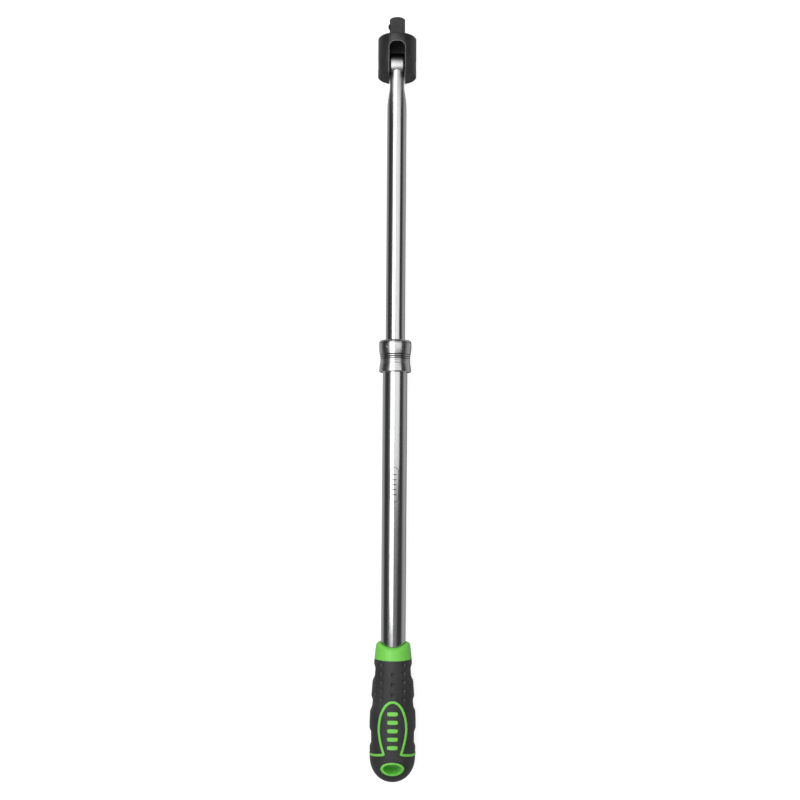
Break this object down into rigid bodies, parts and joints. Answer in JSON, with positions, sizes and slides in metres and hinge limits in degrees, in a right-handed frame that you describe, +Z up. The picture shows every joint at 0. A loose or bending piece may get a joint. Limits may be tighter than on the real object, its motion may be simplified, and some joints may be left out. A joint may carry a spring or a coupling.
{
  "type": "telescopic breaker bar",
  "caption": "Telescopic half-inch drive breaker bar with a tilting fork head, polished sliding rod, pull-back lock collar, chromed tube and two-part rubber grip with a hanging hole.",
  "frame": {"origin": "middle of the drive shoulder, the flat face of the head that the drive square stands on, on the bar's axis", "axes": "+X along the bar toward the drive square, +Z up from the surface the bar lies on, Y along the head's pivot pin with the socket's detent ball on +Y"},
  "size_m": [0.6345, 0.039, 0.0344],
  "materials": {
    "phosphated_steel": "dark grey phosphate finish, fine matt texture",
    "pin_steel": "plain ground steel",
    "ball_steel": "polished bearing steel",
    "spring_steel": "drawn spring wire",
    "polished_steel": "polished chromed steel",
    "satin_chrome": "chromed steel tube",
    "collar_chrome": "turned and chromed steel",
    "plain_steel": "zinc plated steel",
    "bearing_bronze": "plain bearing bronze",
    "black_plastic": "black moulded plastic",
    "green_plastic": "bright green moulded plastic, satin",
    "grip_rubber": "dark grey soft rubber, matt"
  },
  "bodies": {
    "handle": {"handle_tube": "satin_chrome", "guide_bush": "bearing_bronze", "collar_snap_ring": "spring_steel", "collar_spring": "spring_steel", "tube_end_plug": "black_plastic", "grip_core": "green_plastic", "grip_sleeve": "grip_rubber", "grip_end_cover": "grip_rubber"},
    "rod": {"sliding_rod": "polished_steel", "tail_bush": "bearing_bronze", "tail_washer": "plain_steel", "tail_screw": "plain_steel", "friction_spring": "spring_steel"},
    "collar": {"lock_collar": "collar_chrome", "collar_end_ring": "collar_chrome"},
    "lock_ball": {"lock_ball": "ball_steel"},
    "head": {"drive_head": "phosphated_steel", "pivot_pin": "pin_steel", "detent_spring": "spring_steel"},
    "socket_ball": {"detent_ball": "phosphated_steel"},
    "friction_ball": {"friction_ball": "ball_steel"}
  },
  "joints": [
    {"name": "rod_slide", "type": "slide", "parent": "handle", "child": "rod", "axis": [-1, 0, 0], "range_m": [0, 0.185]},
    {"name": "head_tilt", "type": "hinge", "parent": "rod", "child": "head", "pos_m": [-0.0226, 0, 0], "axis": [0, 1, 0], "range_deg": [-105, 105]},
    {"name": "collar_pull", "type": "slide", "parent": "handle", "child": "collar", "axis": [-1, 0, 0], "range_m": [0, 0.004], "stiffness_N_per_m": 1500, "springref_m": -0.004, "deforming": ["collar_spring"]},
    {"name": "lock_ball_lift", "type": "slide", "parent": "handle", "child": "lock_ball", "axis": [0, 0, -1], "range_m": [0, 0.0009]},
    {"name": "socket_ball_press", "type": "slide", "parent": "head", "child": "socket_ball", "axis": [0, -1, 0], "range_m": [0, 0.0012], "stiffness_N_per_m": 2500, "springref_m": -0.001, "deforming": ["detent_spring"]},
    {"name": "friction_ball_press", "type": "slide", "parent": "rod", "child": "friction_ball", "axis": [0, -1, 0], "range_m": [0, 0.0002], "stiffness_N_per_m": 9000, "springref_m": -0.001, "deforming": ["friction_spring"]}
  ],
  "couplings": [
    {"joint": "lock_ball_lift", "follows": "collar_pull", "ratio": 0.225}
  ]
}
